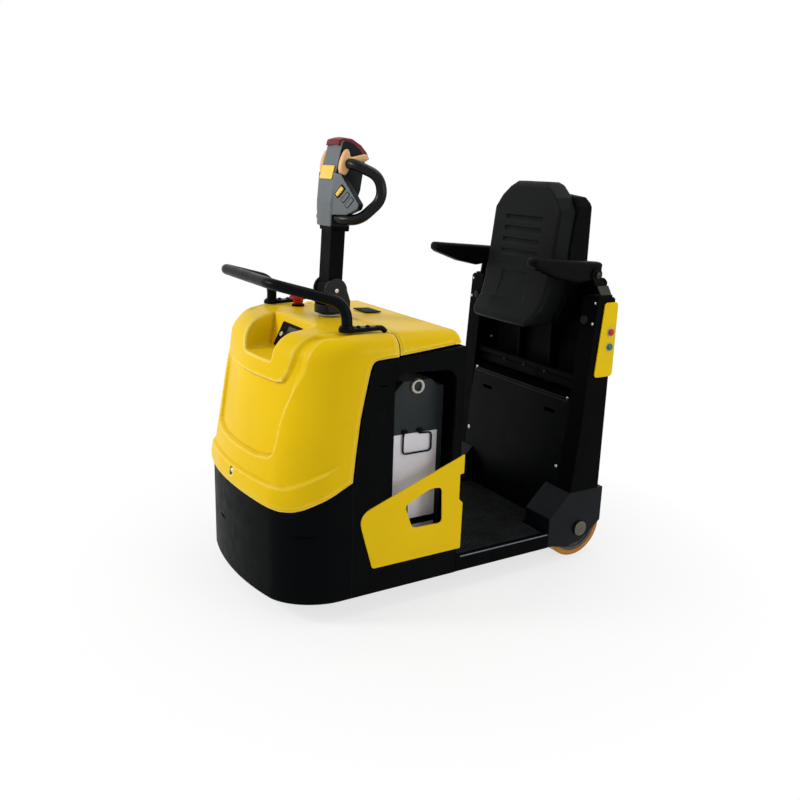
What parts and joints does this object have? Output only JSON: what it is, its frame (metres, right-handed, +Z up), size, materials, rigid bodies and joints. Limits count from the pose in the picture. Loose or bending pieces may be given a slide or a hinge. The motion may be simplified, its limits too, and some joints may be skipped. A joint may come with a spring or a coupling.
{
  "type": "stand-on electric tow tractor",
  "caption": "Three-wheeled electric tractor for pulling baggage trains: standing platform, lean seat, tiller, hinged battery cover and a rear drawbar jaw.",
  "frame": {"origin": "on the floor, under the middle of the machine's length and width", "axes": "+X forwards to the nose, +Y to the operator's left, +Z up"},
  "size_m": [1.5, 0.812, 1.5738],
  "materials": {
    "black_steel": "satin powder coat, fine orange peel",
    "dark_steel": "satin powder coat",
    "yellow_cover": "glossy paint",
    "yellow_plate": "glossy powder coat",
    "mat_rubber": "ribbed rubber, matt",
    "seat_foam": "integral-skin foam, satin, fine grain",
    "black_plastic": "moulded, satin",
    "grey_plastic": "moulded, satin",
    "battery_grey": "satin paint",
    "red_plastic": "glossy",
    "green_plastic": "glossy",
    "orange_plastic": "satin",
    "polyurethane": "satin, cast",
    "bare_metal": "satin",
    "cast_metal": "painted casting"
  },
  "bodies": {
    "chassis": {"floor_pan": "black_steel", "platform_mat": "mat_rubber", "bulkhead": "black_steel", "drive_frame": "black_steel", "rear_beam": "dark_steel", "tow_jaw": "cast_metal", "front_skirt": "black_steel", "side_panels": "black_steel", "wheel_boxes": "dark_steel", "columns": "dark_steel", "kick_panel": "black_steel", "rear_panel": "black_steel", "cross_bar": "black_steel", "seat_post": "black_steel", "seat_shell": "black_plastic", "seat_pad": "seat_foam", "arm_brackets": "dark_steel", "front_cover": "yellow_cover", "instrument_panel": "black_plastic", "emergency_stop": "red_plastic", "battery": "battery_grey", "battery_fittings": "bare_metal", "guards": "yellow_plate", "button_plate": "yellow_plate", "stop_button": "red_plastic", "start_button": "green_plastic", "hand_rail": "black_steel", "bearing_flange": "bare_metal"},
    "battery_lid": {"battery_cover": "yellow_cover", "cover_pad": "mat_rubber"},
    "arm_left": {"armrest_left": "seat_foam"},
    "arm_right": {"armrest_right": "seat_foam"},
    "steering_head": {"steering_yoke": "black_steel"},
    "tiller": {"tiller_arm": "black_steel", "tiller_head": "grey_plastic", "tiller_loops": "black_plastic", "thumb_wheels": "orange_plastic", "belly_button": "red_plastic"},
    "drive_turntable": {"drive_unit": "cast_metal"},
    "drive_wheel": {"drive_hub": "bare_metal", "drive_tyre": "polyurethane"},
    "rear_wheel_left": {"rear_hub_left": "bare_metal", "rear_tyre_left": "polyurethane"},
    "rear_wheel_right": {"rear_hub_right": "bare_metal", "rear_tyre_right": "polyurethane"}
  },
  "joints": [
    {"name": "drive_steer", "type": "hinge", "parent": "chassis", "child": "drive_turntable", "pos_m": [0.475, 0, 0.312], "axis": [0, 0, 1], "range_deg": [-90, 90]},
    {"name": "drive_spin", "type": "hinge", "parent": "drive_turntable", "child": "drive_wheel", "pos_m": [0.475, 0, 0.127], "axis": [0, 1, 0], "continuous": true},
    {"name": "tiller_steer", "type": "hinge", "parent": "chassis", "child": "steering_head", "pos_m": [0.368, 0, 0.974], "axis": [0, 0, 1], "range_deg": [-90, 90]},
    {"name": "tiller_tilt", "type": "hinge", "parent": "steering_head", "child": "tiller", "pos_m": [0.368, 0, 1.063], "axis": [0, 1, 0], "range_deg": [-50, 0], "stiffness_Nm_per_rad": 40, "springref_deg": 34.38},
    {"name": "lid_hinge", "type": "hinge", "parent": "chassis", "child": "battery_lid", "pos_m": [0.053, 0, 0.924], "axis": [0, -1, 0], "range_deg": [0, 80]},
    {"name": "armrest_left_hinge", "type": "hinge", "parent": "chassis", "child": "arm_left", "pos_m": [-0.559, 0.318, 1.119], "axis": [0, -1, 0], "range_deg": [0, 90]},
    {"name": "armrest_right_hinge", "type": "hinge", "parent": "chassis", "child": "arm_right", "pos_m": [-0.559, -0.318, 1.119], "axis": [0, -1, 0], "range_deg": [0, 90]},
    {"name": "rear_spin_left", "type": "hinge", "parent": "chassis", "child": "rear_wheel_left", "pos_m": [-0.54, 0.3355, 0.127], "axis": [0, 1, 0], "continuous": true},
    {"name": "rear_spin_right", "type": "hinge", "parent": "chassis", "child": "rear_wheel_right", "pos_m": [-0.54, -0.3355, 0.127], "axis": [0, 1, 0], "continuous": true}
  ],
  "couplings": [
    {"joint": "tiller_steer", "follows": "drive_steer", "ratio": 1}
  ]
}
